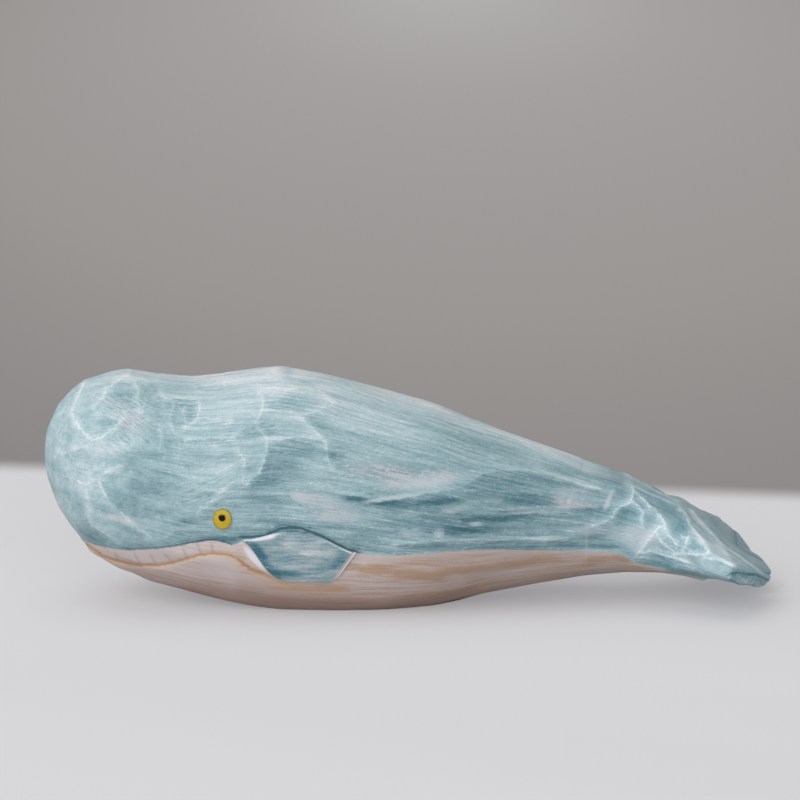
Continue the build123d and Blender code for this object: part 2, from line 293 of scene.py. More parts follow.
tail_crests = [
    (1.1, 0.05, 0.16, [(592, 526), (601, 523), (610, 520), (614, 515), (616, 509), (623, 506), (630, 503), (632, 497),
        (634, 491), (631, 485), (628, 483)]),
    (0.8, 0.1, 0.0, [(575, 484), (590, 487), (601, 489), (612, 491)]),
    (1.1, 0.14, 0.0, [(634, 492), (640, 497), (645, 501), (650, 507), (657, 512), (661, 517), (665, 523), (666, 529),
        (669, 535), (676, 544)]),
    (0.9, 0.06, 0.0, [(631, 501), (638, 506), (643, 512), (642, 517), (642, 523)]),
    (0.7, 0.0, 0.06, [(648, 509), (656, 511)]),
    (1.1, 0.06, 0.06, [(665, 525), (657, 529), (654, 534), (645, 544), (640, 551), (635, 556)]),
    (1.0, 0.1, 0.0, [(657, 532), (660, 539), (664, 544), (676, 553), (680, 553)]),
    (1.1, 0.06, 0.14, [(679, 509), (684, 514), (689, 525), (697, 534), (703, 541), (707, 548), (709, 553)]),
    (1.0, 0.06, 0.06, [(709, 553), (704, 555), (692, 554), (681, 553)]),
    (1.0, 0.06, 0.06, [(681, 553), (686, 545), (688, 538), (684, 537)]),
    (1.0, 0.04, 0.12, [(640, 551), (644, 553), (651, 551), (663, 554), (676, 558), (686, 562)]),
    (0.8, 0.1, 0.1, [(635, 556), (648, 558), (663, 562), (676, 566)]),
    (0.8, 0.0, 0.08, [(631, 485), (648, 494), (666, 501), (678, 506), (684, 512), (689, 520)]),
    (0.9, 0.16, -0.08, [(692, 513), (707, 529), (722, 544), (741, 558), (754, 567), (763, 575), (771, 581)]),
    (0.8, 0.0, 0.08, [(704, 558), (714, 559), (722, 561), (735, 566)]),
]
crests = head_crests + back_crests + flank_crests + tail_crests
print("crests:", len(crests))

# %% [markdown]
# ## Lines of the mouth and the paint
# The blue stops at a hand-painted line that is also the upper lip. The brown line under it is the lower lip, and the
# white band between them carries the teeth, which are only grey brush marks. The end of the fluke is sawn flat, and the
# flipper lies under a cut.

# %% Where the lines run
paint_line = [
    (44, 535), (74, 538), (86, 541), (94, 545), (105, 547), (118, 549.5), (129, 550.5), (142, 550), (156, 549),
    (169, 547.5), (182, 545.5), (195, 543), (208, 541.5), (216, 542), (225, 544), (232, 546), (242, 541), (300, 550),
    (357, 553.5), (367, 554.5), (385, 555.5), (402, 555), (419, 554), (440, 552), (464, 550.5), (490, 549.5),
    (512, 549.5), (536, 550), (560, 550.5), (579, 551), (600, 552), (613, 553), (620, 554.5), (627, 558), (634, 562),
    (644, 565), (657, 567.5), (669, 571.5), (681, 575.5), (692, 580), (707, 584), (722, 585.5), (736, 587),
    (758, 588.5), (790, 590),
]
mouth_line = [
    (84, 543), (95, 550.5), (102, 556), (112, 559.5), (123, 562.5), (134, 565), (147, 565.5), (160, 565), (172, 563),
    (185, 559.5), (198, 555.5), (211, 553.5), (222, 554), (230, 555.5), (238, 559), (246, 566), (255, 571),
    (265, 574), (274, 578.5), (284, 583.5), (296, 585.5), (310, 587), (328, 588), (345, 587),
]
tooth_marks = [
    [(115.5, 553), (118, 559)], [(135.5, 555), (140.5, 563)], [(151.5, 556), (155.5, 563)],
    [(165, 554), (171.5, 560.5)], [(183.5, 550), (187, 556)], [(198, 545.5), (200.5, 552.5)],
    [(211.5, 545), (213, 551)],
]
upper_lip_cut = [
    [(90, 542.5), (97, 545), (118, 548.8), (142, 549.3), (169, 546.8), (195, 542.3), (208, 540.8), (216, 541.5),
     (224, 543.5), (232, 546)],
]
end_grain_cut = [
    [(728, 575), (732, 573.5), (745, 572.3), (755, 573.5), (764, 577), (771, 582)],
    [(731, 581), (735, 583.5), (740, 585)],
]
end_grain = [
    (728, 575), (737, 573), (752, 572.5), (760, 575), (772, 581), (772, 588), (751, 588), (739, 585), (731, 581),
]
flipper_cut = [
    [(240, 537.5), (252, 537.5), (266, 535.5), (273, 532), (280, 529.5), (290, 528), (300, 528.5), (311, 532),
     (320, 535.5), (331, 541), (340, 546.5), (348, 551), (357, 553)],
]
flipper_outline = [
    (241, 541), (250, 540), (260, 538.5), (270, 534.5), (280, 531.5), (290, 530.5), (300, 531), (311, 533.5),
    (320, 537), (331, 542.5), (340, 547.5), (350, 552.5), (357, 553), (352, 562), (345, 572), (338, 581),
    (330, 581.5), (310, 581), (295, 580.5), (284, 580), (276, 576), (268, 569), (260, 559), (251, 547),
]
print("the paint line has", len(paint_line), "points and the lower lip", len(mouth_line))

# %% [markdown]
# Now each vertex learns how far it lies from those lines. The flukes are painted all round, so towards the tail the
# paint line gives way to another measure, the height above the lowest rim of each lobe. Places along the whale are
# millimetres from its middle, with the tail on the plus side.

# %% Measure the skin against the lines
CREST_SIDE_REACH = 2.6
LOBE_STATIONS = np.arange(52.0, 75.0)
places = vertices_of(skin)
normals = vertices_of(skin, "normal")
pixels = to_pixels(near_side(places))
x = places[:, 0] / MM


def along_crests(pixels, crests):
    """Gap to the nearest crest, plain and signed, its rub, and the pooled paint and painted shade beside all crests."""
    nearest = np.full(len(pixels), FAR_OFF)
    signed = nearest
    rubbed = pooled_and_shaded = np.zeros(len(pixels))
    for strength, left, right, line in crests:
        gap, side = beside_lines(pixels, [line])
        ends = np.minimum(np.linalg.norm(pixels - line[0], axis=1), np.linalg.norm(pixels - line[-1], axis=1))
        inner = step_up(ends / PIXELS_PER_MM - gap, 0.0, 1.5)
        # Painted shade: each side of a crest is darkened as pooled paint and as the shade that its facet catches.
        pooled_and_shaded = pooled_and_shaded + np.where(side > 0, right, left) * np.exp(-gap / CREST_SIDE_REACH) * inner
        rubbed = np.where(gap < nearest, strength, rubbed)
        signed = np.where(gap < nearest, side, signed)
        nearest = np.minimum(nearest, gap)
    return nearest, signed, rubbed, pooled_and_shaded


crest_gap, crest_side, crest_rub, pooled_and_shaded = along_crests(pixels, crests)
lip_gap, lip_side = beside_lines(pixels, [mouth_line])
edge = (np.interp(pixels[:, 0], *zip(*paint_line)) - pixels[:, 1]) / PIXELS_PER_MM
under_tail = step_up(x, 44, 52) * step_up(-x, -64, -58) * step_up(-normals[:, 2], 0.86, 0.97)
edge = np.minimum(edge, 8 - 10 * under_tail)
above_rim = np.full(len(x), 9.0)
for lobe in (places[:, 1] < 0, places[:, 1] >= 0):
    lowest = [places[lobe & (np.abs(x - station) < 1.2), 2].min() / MM for station in LOBE_STATIONS]
    above_rim[lobe] = places[lobe, 2] / MM - np.interp(x[lobe], LOBE_STATIONS, lowest)
fluke_ends = step_up(x, 52, 70)
at_rim = above_rim - 0.5 + 1.5 * step_up(x, 70, 73)
edge = edge * (1 - fluke_ends) + np.minimum(at_rim, 2) * fluke_ends
print("blue share of the skin:", round(float((edge > 0).mean()), 2))

# %% [markdown]
# ## Carving by moving vertices
# A gouge leaves a hollow with a sharp crest at its rim. Sinking every vertex by an amount that levels off away from the
# nearest crest line gives just that, and it costs no faces. The lip line and the cut above the flipper are narrow
# grooves, and the seat of the flipper is sunk under it. All depths are in millimetres.

# %% Carve the skin
SCOOP_DEPTH = 0.42
SCOOP_REACH = 2.0
MOUTH_DEPTH = 0.10
LIP_DEPTH, LIP_HALF_WIDTH = 0.30, 0.35
CUT_DEPTH, CUT_HALF_WIDTH = 0.34, 0.42
SAWN_DEPTH = 0.20
SEAT_DEPTH = 1.2
OUTWARD = 0.20
BELLY_FLAT = 0.05
TIP_LIFT = 0.9


def inside_outline(pixels, outline):
    """Distance in millimetres inside a closed outline, negative outside."""
    closed = outline + outline[:1]
    gap = beside_lines(pixels, [closed])[0]
    across, down = pixels[:, 0], pixels[:, 1]
    odd = np.zeros(len(pixels), bool)
    for (x0, y0), (x1, y1) in zip(closed[:-1], closed[1:]):
        if y0 != y1:
            odd ^= ((y0 > down) != (y1 > down)) & (across < (x1 - x0) * (down - y0) / (y1 - y0) + x0)
    return np.where(odd, gap, -gap)


deeper = 1 + 0.7 * step_up(x, 36, 50)
sunk = SCOOP_DEPTH * deeper * (0.35 + 0.65 * crest_rub) * (1 - np.exp(-crest_gap / SCOOP_REACH))
sunk *= step_up(edge, -0.3, 0.3)
above_lip = np.interp(pixels[:, 0], *zip(*mouth_line)) - pixels[:, 1]
in_mouth = (above_lip > 0) & (edge < 0) & (pixels[:, 0] < 240)
sunk += np.where(in_mouth, MOUTH_DEPTH, 0)
sunk += LIP_DEPTH * np.exp(-(lip_gap / LIP_HALF_WIDTH) ** 2) * step_up(300 - pixels[:, 0], 0, 60)
cut_gap, cut_side = beside_lines(pixels, flipper_cut + upper_lip_cut + end_grain_cut)
cut_share = np.interp(pixels[:, 0], [90, 140, 195, 212, 232, 238, 262, 285, 330, 360],
                      [0.15, 0.25, 0.45, 1.0, 0.9, 0.35, 0.6, 1.0, 0.8, 1.0])
cut_share *= np.where(x > 55, 0.6, 1.0)
sunk += CUT_DEPTH * cut_share * np.exp(-(cut_gap / CUT_HALF_WIDTH) ** 2)
on_end_grain = step_up(inside_outline(pixels, end_grain), -0.05, 0.3) * step_up(-places[:, 1] / MM, -0.5, 0.5)
sunk += SAWN_DEPTH * on_end_grain
sunk += SEAT_DEPTH * step_up(inside_outline(pixels, flipper_outline), 0.1, 0.9)
places = places - normals * ((sunk - OUTWARD) * MM)[:, None]
places[:, 2] = np.maximum(places[:, 2], BELLY_FLAT * MM)
places[:, 2] += TIP_LIFT * MM * step_up(x, 58, 69) * (1 - step_up(above_rim, 0.3, 2.6))
put_places(skin, places)
print("deepest cut in mm:", round(float(sunk.max()), 2))

# %% [markdown]
# ## Notes for the painter
# The finish needs to know where it is, so the skin carries a few numbers at each vertex: how far it is from a crest, a
# lip or the paint line, and how dark the brush was there. The washes are put down as soft oval dabs, as a painter
# would, each with its place and half size in pixels, its tilt in degrees and its strength, negative where it is pale.
# Some of the dabs are painted shade and painted light: they darken or lighten facets and flanks as the light falls on
# them.

# %% Dabs of the brush
# Dabs of paint, and of painted shade and light on facets and flanks: place and half size in pixels, tilt, strength.
wash_and_shade_dabs = [
    (170, 376, 95, 8, 2, -0.32), (300, 370, 60, 7, 3, -0.3), (400, 395, 60, 6, 17, -0.2),
    (520, 437, 70, 5, 20, -0.22), (125, 425, 26, 16, 35, -0.06), (108, 448, 20, 8, -10, -0.26),
    (118, 468, 9, 4, -25, -0.12), (92, 470, 12, 8, 0, -0.1), (66, 430, 8, 16, 10, 0.1), (122, 394, 12, 8, 0, 0.1),
    (150, 392, 10, 10, 0, 0.12), (188, 413, 8, 10, 10, 0.16), (165, 446, 9, 12, 0, 0.14), (153, 456, 9, 5, 0, 0.14),
    (72, 497, 9, 18, -25, 0.16), (86, 522, 12, 12, 30, 0.1), (95, 536, 22, 6, 18, 0.14), (100, 500, 10, 12, 20, 0.1),
    (115, 518, 15, 4, 5, -0.2), (131, 524, 10, 3, 8, -0.15), (190, 522, 28, 4.5, -7, 0.3),
    (160, 512, 30, 3, -8, 0.14), (168, 534, 40, 4, -3, 0.14), (200, 480, 30, 10, -15, -0.12),
    (145, 490, 34, 18, -15, 0.16), (232, 540, 16, 4.5, 5, 0.26), (222, 470, 16, 12, 0, -0.16),
    (214, 448, 18, 8, 0, -0.14), (225, 410, 22, 10, 0, -0.1), (262, 480, 22, 14, -30, 0.2),
    (262, 500, 20, 9, 10, 0.26), (288, 470, 22, 12, -15, 0.22), (300, 455, 26, 8, 0, 0.06), (338, 453, 14, 9, 0, 0.2),
    (320, 425, 14, 8, 20, 0.12), (288, 372, 6, 5, 20, 0.26), (308, 384, 10, 3, 15, 0.26), (300, 401, 22, 6, 0, 0.08),
    (328, 503, 30, 7, 12, -0.1), (340, 518, 30, 5, 0, -0.08), (300, 497, 12, 5, 25, -0.12),
    (390, 472, 48, 11, 3, -0.02), (430, 482, 40, 6, -6, -0.18), (395, 497, 34, 2.4, -8, -0.16),
    (354, 499, 13, 3, 2, 0.65), (385, 503, 22, 2.5, -4, 0.45), (436, 502, 38, 3.5, -6, 0.4),
    (368, 540, 26, 8, 0, 0.2), (300, 524, 50, 5, 5, 0.3), (410, 514, 14, 5, 0, -0.12), (456, 509, 19, 4, -10, -0.1),
    (476, 524, 8, 2.5, 0, -0.55), (439, 533, 6, 5, 0, -0.4), (412, 533, 18, 6, 0, -0.2), (470, 530, 50, 4, -2, 0.42),
    (500, 517, 40, 6, -4, 0.32), (500, 484, 44, 9, -4, 0.13), (540, 500, 34, 8, 2, 0.17),
    (470, 440, 70, 12, 18, 0.18), (430, 425, 60, 10, 16, 0.16), (395, 472, 40, 12, 0, 0.27),
    (328, 508, 36, 9, 8, 0.1), (510, 452, 50, 8, 20, 0.06), (510, 500, 12, 3, 10, 0.12), (565, 470, 28, 6, 18, 0.36),
    (566, 500, 14, 10, 10, -0.16), (520, 513, 46, 1.8, -2, -0.3), (545, 538, 26, 2.4, -2, -0.35),
    (590, 512, 24, 10, -5, 0.2), (610, 478, 20, 6, 12, 0.34), (612, 491, 20, 9, 0, 0.24), (596, 536, 12, 3, -10, 0.3),
    (632, 538, 24, 13, 15, -0.2), (626, 514, 14, 8, 10, 0.22), (652, 521, 7, 8, 0, 0.1), (668, 563, 20, 4, 18, 0.34),
    (690, 568, 18, 4, 12, 0.1), (636, 555, 5, 4, 0, 0.26), (680, 530, 9, 9, 40, 0.22), (694, 548, 11, 5, 25, 0.02),
    (700, 525, 22, 5, 45, -0.16), (716, 550, 28, 6, 36, -0.34), (742, 566, 20, 4, 35, 0.02),
    (655, 530, 20, 14, 30, -0.14), (725, 572, 30, 7, 18, -0.16), (560, 545, 22, 3.5, 0, 0.2),
    (604, 547, 24, 3, 0, 0.28), (608, 501, 9, 2.2, -68, -0.4), (72, 450, 34, 80, 0, -0.16),
    (80, 500, 22, 30, 30, -0.1), (480, 500, 110, 40, 5, 0.14), (400, 512, 60, 26, 0, 0.12),
    (745, 579, 20, 5, 8, 0.06), (500, 520, 120, 30, 0, 0.16), (520, 470, 110, 22, 14, 0.06),
]
bare_dabs = [
    (326, 503, 34, 9, 12, 0.8), (338, 517, 34, 6, 0, 0.75), (300, 497, 12, 4, 25, 0.55), (425, 481, 46, 8, -6, 0.85),
    (392, 474, 54, 12, 4, 0.66), (395, 497.5, 34, 2.2, -8, 0.85), (410, 514, 14, 4, 0, 0.55),
    (456, 509, 19, 4, -10, 0.78), (476, 524, 8, 2, 0, 0.8), (439, 533, 6, 5, 0, 0.75), (412, 533, 18, 6, 0, 0.45),
    (520, 513, 46, 1.5, -2, 0.6), (545, 538, 26, 2, -2, 0.65), (470, 540, 70, 1.3, -1, 0.8),
    (115, 518, 15, 4, 5, 0.75), (131, 524, 10, 3, 8, 0.65), (118, 468, 9, 4, -25, 0.6), (608, 501, 9, 2.2, -68, 0.95),
    (632, 538, 24, 12, 15, 0.58), (655, 532, 20, 14, 30, 0.42), (716, 550, 28, 6, 36, 0.62),
    (566, 500, 14, 10, 10, 0.42), (128, 418, 34, 14, 35, 0.6), (112, 452, 20, 9, -15, 0.5), (300, 371, 60, 5, 3, 0.4),
    (170, 376, 95, 6, 2, 0.4), (470, 418, 70, 3, 20, 0.48), (400, 398, 50, 3, 18, 0.42), (350, 396, 40, 3, 14, 0.38),
    (600, 473, 40, 3, 14, 0.6), (560, 455, 50, 3, 22, 0.48), (222, 470, 16, 8, 0, 0.34), (214, 448, 18, 6, 0, 0.34),
    (690, 506, 26, 3, 32, 0.4), (80, 415, 14, 26, 10, 0.3), (100, 395, 22, 10, -20, 0.32),
    (370, 450, 80, 14, 10, 0.22), (290, 420, 40, 14, 5, 0.3), (745, 582, 18, 3, 6, 0.4), (690, 568, 24, 4, 12, 0.45),
    (540, 425, 60, 3, 22, 0.4), (578, 497, 36, 12, 5, 0.5), (590, 530, 24, 8, 0, 0.48), (535, 508, 62, 1.8, -2, 0.78),
    (640, 503, 20, 8, 30, 0.3), (668, 522, 20, 8, 40, 0.28), (702, 562, 32, 5, 20, 0.46), (736, 579, 20, 3.5, 8, 0.5),
    (650, 556, 24, 4, 20, 0.34),
]
ochre_dabs = [
    (175, 583, 40, 9, 12, 0.55), (140, 572, 22, 4, 15, 0.5), (205, 597, 30, 7, 12, 0.55), (258, 570, 24, 3, 40, 0.5),
    (325, 590, 44, 4.5, 2, 0.5), (292, 584, 14, 3, 20, 0.35), (372, 570, 24, 6, -12, 0.65),
    (410, 575, 44, 9, 0, 0.95), (420, 562, 30, 4, -3, 0.45), (400, 597, 60, 6, -3, 0.6), (300, 602, 70, 5, 2, 0.55),
    (470, 572, 44, 9, -3, 0.85), (515, 562, 44, 5.5, -6, 0.95), (540, 561, 44, 3.5, -2, 0.65),
    (470, 588, 40, 6, -10, 0.6), (560, 572, 34, 5, -10, 0.6), (590, 563, 22, 3, -10, 0.8),
    (600, 557, 14, 3, -5, 0.55), (622, 557, 12, 4, 12, 0.8), (640, 568, 30, 2, 10, 0.45),
    (225, 575, 26, 10, 15, -0.35), (290, 596, 22, 2.5, 5, -0.3), (455, 577, 13, 5, 0, -1.15),
    (503, 571, 36, 2.6, -8, -1.1), (430, 562, 20, 2, 0, -0.5), (450, 575, 150, 20, -3, 0.3),
    (364, 562, 6, 5, 0, -0.5), (587, 560, 4, 3, 0, 0.7), (256, 560, 22, 5, 50, -1.0), (165, 552, 66, 5, -3, -0.42),
    (300, 584, 26, 1.6, 0, -0.5),
]
scuff_dabs = [(128, 418, 34, 15, 35, 1.0), (118, 446, 22, 10, -20, 0.6), (142, 398, 14, 8, 10, 0.5)]
rising_dabs = [(205, 485, 50, 22, -25, 1.0), (150, 500, 30, 14, -15, 0.5), (395, 490, 60, 10, -8, 0.5)]
falling_dabs = [
    (130, 418, 30, 16, 35, 1.0), (440, 415, 120, 18, 17, 0.8), (560, 455, 60, 14, 20, 0.8),
    (700, 535, 70, 18, 38, 0.9), (345, 440, 40, 20, 12, 0.4),
]


def brushed(pixels, dabs):
    """The sum of some dabs at each pixel."""
    total = np.zeros(len(pixels))
    for across, down, long_half, short_half, tilt, strength in dabs:
        turn = math.radians(tilt)
        offset = pixels - (across, down)
        along = (offset[:, 0] * math.cos(turn) + offset[:, 1] * math.sin(turn)) / long_half
        over = (offset[:, 1] * math.cos(turn) - offset[:, 0] * math.sin(turn)) / short_half
        total += strength * np.exp(-1.1 * (along ** 2 + over ** 2) ** 1.4)
    return total


print("dabs:", len(wash_and_shade_dabs), "blue,", len(bare_dabs), "bare,", len(ochre_dabs), "ochre")

# %% [markdown]
# Brush strokes run along the whale and close up towards the tail. So the pattern isn't laid in plain space: each
# vertex gets its place along the whale and its way round the section, as on a sheet of paper rolled round it. Lines
# drawn on that sheet follow the swelling of the body. Round the blunt nose the strokes would meet in a star, so there
# the sheet is turned and they run round the nose, level.

# %% The sheet for the brush
ROLL_RADIUS = 24.0
NOSE_HEIGHT = 26.0
SIDES_APART = 0.14
STATIONS = np.linspace(-74, 74, 60)


def rolled_sheet(places):
    """Place along the whale and round its section, in millimetres, measured from the top."""
    x = places[:, 0] / MM
    low, high, wide = [], [], []
    for station in STATIONS:
        slab = places[np.abs(x - station) < 1.6] / MM
        low.append(slab[:, 2].min())
        high.append(slab[:, 2].max())
        wide.append(np.abs(slab[:, 1]).max())
    low, high, wide = (np.interp(x, STATIONS, row) for row in (low, high, wide))
    height = places[:, 2] / MM - (low + high) / 2
    across = np.abs(places[:, 1]) / MM
    rolled = ROLL_RADIUS * np.arctan2(across / np.maximum(wide, 1), height / np.maximum((high - low) / 2, 1))
    nose = step_up(-normals[:, 0], 0.45, 0.90) * step_up(-x, 40, 50)
    along = x - nose * (ROLL_RADIUS - across)
    rolled = rolled * (1 - nose) + (ROLL_RADIUS * math.pi / 2 - places[:, 2] / MM + NOSE_HEIGHT) * nose
    return np.stack([along, rolled, SIDES_APART * places[:, 1] / MM], 1)


sheet_places = rolled_sheet(places)
print("the sheet goes", round(float(sheet_places[:, 1].max())), "mm down each side")

# %% [markdown]
# The wash gathers the dabs, with the painted shade and light among them, the pooled paint and painted shade beside the
# crests, a darker band along the upper lip, a painted light that makes the upward-facing top paler, and one even
# painted shade on the far lobe of the tail, which faces away from the light and is out of focus.

# %% Notes on the skin
WASH_BASE, WASH_REACH = 0.53, 0.62
# The second number is a painted light that makes the upward-facing top paler.
LIP_BAND, TOP_LIGHT = 0.07, 0.18
# The far lobe tone is a painted shade.
SAWN_TONE, FAR_SHADE_TONE = 0.062, 0.55


def keep_note(thing, name, values):
    """Stores a number, or three, for each vertex under a name that the finish can read."""
    wide = np.ndim(values) == 2
    kept = thing.data.attributes.new(name, "FLOAT_VECTOR" if wide else "FLOAT", "POINT")
    kept.data.foreach_set("vector" if wide else "value", np.ascontiguousarray(values, dtype=np.float32).ravel())


# Painted shade: the far lobe of the tail, which faces away from the light, becomes one even darker tone.
far_lobe = step_up(places[:, 1] / MM, 0.5, 3) * step_up(x, 50, 60) * step_up(normals[:, 2], 0.2, 0.4)
# The wash holds paint and also painted shade and light, from the dabs and from the darkened sides of the crests.
tone = WASH_BASE + WASH_REACH * (brushed(pixels, wash_and_shade_dabs) + pooled_and_shaded * (1 + 0.15 * step_up(x, 40, 50)))
tone += LIP_BAND * np.exp(-((edge - 0.9) / 1.1) ** 2) * step_up(pixels[:, 0], 60, 90)
# Painted light: upward-facing places ahead of the tail are painted paler, as if lit from above.
tone -= TOP_LIGHT * step_up(normals[:, 2], 0.55, 0.95) * step_up(-x, -50, -30) * (1 - 0.85 * step_up(-x, 36, 48))
tone = tone * (1 - far_lobe) + FAR_SHADE_TONE * far_lobe + SAWN_TONE * on_end_grain
lip_width = np.interp(pixels[:, 0], [95, 215, 240, 275, 300, 345], [1, 1, 1.5, 1.9, 1.5, 1.0])
tooth_gap, tooth_side = beside_lines(pixels, tooth_marks)
notes = {
    "sheet": sheet_places, "wash": tone, "edge_mm": edge, "far": far_lobe, "end_grain": on_end_grain,
    "crest_mm": crest_gap, "crest_side": crest_side,
    "crest_rub": crest_rub * (1 - on_end_grain) * (1 - 0.75 * far_lobe) * (0.78 + 0.22 * step_up(x, 35, 48)),
    "lip_mm": lip_gap / lip_width, "lip_side": lip_side / lip_width, "tooth_mm": tooth_gap, "tooth_side": tooth_side,
    "cut_mm": cut_gap, "cut_side": cut_side, "cut_share": cut_share, "ochre": brushed(pixels, ochre_dabs),
    "bare": np.clip(brushed(pixels, bare_dabs), 0, 1) * (1 - far_lobe),
    "mottled": np.clip(step_up(-x, 42, 56) + 0.6 * step_up(x, 38, 48), 0, 1),
    "joint_line": step_up(pixels[:, 1], 522, 530) * step_up(-pixels[:, 1], -566, -560),
}
for name, dabs in (("scuff", scuff_dabs), ("rising", rising_dabs), ("falling", falling_dabs)):
    notes[name] = np.clip(brushed(pixels, dabs), 0, 1)
for name, values in notes.items():
    keep_note(skin, name, values)
print("notes:", len(notes), "and the wash goes from", round(float(tone.min()), 2), "to", round(float(tone.max()), 2))

# %% [markdown]
# ## Cut the skin at the glue joint
# Now the one skin becomes the two blocks again, cut where the CAD has its joint and closed with a flat face.

# %% Two blocks
only(skin)
bpy.ops.object.duplicate()
carved_tail = bpy.context.object
carved_body = skin
carved_body.name = "carved_body"
carved_tail.name = "carved_tail"


def cut_at_joint(block, keep_front):
    """Bisects a block at the joint, drops the far half and closes the cut."""
    edit_all(block, bpy.ops.mesh.bisect, plane_co=(JOINT_X, 0, 0), plane_no=(1, 0, 0), use_fill=True,
             clear_outer=keep_front, clear_inner=not keep_front)
    bpy.ops.object.shade_smooth_by_angle(angle=math.radians(50))


cut_at_joint(carved_body, True)
cut_at_joint(carved_tail, False)
print("blocks:", len(carved_body.data.polygons), len(carved_tail.data.polygons), "faces")

# %% [markdown]
# ## Flippers
# Each flipper is a thin slip laid in the flank. Its CAD solid has the right outline, so a copy of it is remeshed finer
# than the skin and softened at its edges, like wood that has been rubbed with cloth.

# %% Flipper slips
FLIPPER_SQUARE = 0.2 * MM
FLIPPER_ROUNDS = 7
FLIPPER_TONE = 0.56
flipper_lines = {
    "front_mm": [(241, 541), (251, 548), (260, 559), (268, 569), (276, 577)],
    "back_mm": [(358, 553), (352, 562), (345, 572), (337, 582)],
    "top_mm": [(243, 540.5), (255, 539), (268, 536), (280, 532), (290, 531), (305, 532.5), (320, 537), (335, 545),
               (351, 553)],
}
flipper_dabs = [
    (260, 551, 12, 4, 50, 0.3), (285, 574, 22, 4, 0, 0.26), (340, 560, 12, 6, -52, 0.22), (300, 548, 34, 8, 8, -0.16),
    (262, 537.5, 14, 2.6, -10, -1.0), (318, 553, 20, 3, 0, -0.18), (300, 566, 20, 3, 0, -0.14),
    (280, 541, 12, 4, -10, 0.16), (325, 570, 14, 5, -10, 0.12), (276, 556, 12, 4, 10, 0.1),
]


def soften(thing, square, rounds):
    """Remeshes a closed shape into small squares and smooths its edges."""
    modify(thing, "REMESH", mode="VOXEL", voxel_size=square)
    modify(thing, "SMOOTH", factor=0.5, iterations=rounds)
    return thing


def flipper_slip(node, name):
    """A softened copy of a flipper with its notes."""
    slip = soften(copy_of(node, name), FLIPPER_SQUARE, FLIPPER_ROUNDS)
    seen = to_pixels(near_side(vertices_of(slip)))
    for note_name, line in flipper_lines.items():
        keep_note(slip, note_name, beside_lines(seen, [line])[0])
    keep_note(slip, "wash", FLIPPER_TONE + brushed(seen, flipper_dabs))
    bpy.ops.object.shade_smooth_by_angle(angle=math.radians(60))
    print(name, len(slip.data.polygons), "faces")
    return slip


slip_left = flipper_slip("flipper_left", "flipper_slip_left")
slip_right = flipper_slip("flipper_right", "flipper_slip_right")

# %% [markdown]
# ## Eyes
# The eyes are thick drops of paint: a yellow dot with a soft rim, and a small black one on it that ran a little to one
# side. The yellow bead is a copy of the CAD bead, rounded. The pupil is three flattened balls, joined and remeshed into
# one drop.

# %% Painted eyes
BEAD_SQUARE, BEAD_ROUNDS = 0.07 * MM, 10
DROP_SQUARE, DROP_ROUNDS = 0.05 * MM, 4
DROP_FLATNESS = 0.35
RUNS = ((0, 0, 0.86), (-0.62, 0.42, 0.42), (0.40, 0.62, 0.34))


def eye_bead(node, name):
    """A softened copy of an eye, which notes how far each vertex lies from its middle."""
    bead = soften(copy_of(node, name), BEAD_SQUARE, BEAD_ROUNDS)
    low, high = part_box(node)
    share = (vertices_of(bead) - np.array((low + high) / 2)) / np.array((high - low) / 2)
    keep_note(bead, "from_middle", np.hypot(share[:, 0], share[:, 2]))
    bpy.ops.object.shade_smooth()
    return bead


def pupil_drop(node, name, side):
    """A drop of some balls, each with its place and size in shares of the pupil's radius."""
    low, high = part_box(node)
    middle = (low + high) / 2
    face_y = low.y if side < 0 else high.y
    radius = (high.z - low.z) / 2
    balls = []
    for across, up, size in RUNS:
        bpy.ops.mesh.primitive_uv_sphere_add(segments=24, ring_count=12, radius=radius * size,
                                             location=(middle.x + across * radius, face_y, middle.z + up * radius))
        bpy.ops.transform.resize(value=(1, DROP_FLATNESS, 1))
        bpy.ops.object.transform_apply()
        balls.append(bpy.context.object)
    only(*balls)
    bpy.ops.object.join()
    drop = soften(bpy.context.object, DROP_SQUARE, DROP_ROUNDS)
    drop.name = name
    bpy.ops.object.shade_smooth()
    return drop


bead_left = eye_bead("eye_left", "eye_bead_left")
bead_right = eye_bead("eye_right", "eye_bead_right")
drop_left = pupil_drop("pupil_left", "pupil_drop_left", -1)
drop_right = pupil_drop("pupil_right", "pupil_drop_right", 1)
print("one bead and one drop:", len(bead_left.data.polygons), len(drop_left.data.polygons), "faces")

# %% [markdown]
# ## Helpers for the finishes
# Colours are written as the eye names them, in sRGB hex, and one function turns them into the linear values that
# Blender works with. One more function adds a node with its settings and links and gives back one of its outputs.

# %% Node helpers
SMOOTH = {"interpolation_type": "SMOOTHSTEP"}


def linear(code):
    """Linear colour of an sRGB hex code."""
    parts = [int(code[place:place + 2], 16) / 255 for place in (1, 3, 5)]
    return [part / 12.92 if part <= 0.04045 else ((part + 0.055) / 1.055) ** 2.4 for part in parts] + [1.0]


def add(tree, kind, inputs=(), output=0, stops=(), **settings):
    """Adds one node. Its inputs take values or other nodes' outputs, in order or by name, and stops fill a ramp."""
    made = tree.nodes.new("ShaderNode" + kind)
    for key, value in settings.items():
        setattr(made, key, value)
    for count, (position, code) in enumerate(stops):
        bar = made.color_ramp.elements[count] if count < 2 else made.color_ramp.elements.new(position)
        bar.position = position
        bar.color = linear(code)
    for key, value in (inputs.items() if isinstance(inputs, dict) else enumerate(inputs)):
        if isinstance(value, bpy.types.NodeSocket):
            tree.links.new(value, made.inputs[key])
        else:
            made.inputs[key].default_value = value
    return made.outputs[output]


print("mid grey as a linear value:", round(linear("#808080")[0], 3))

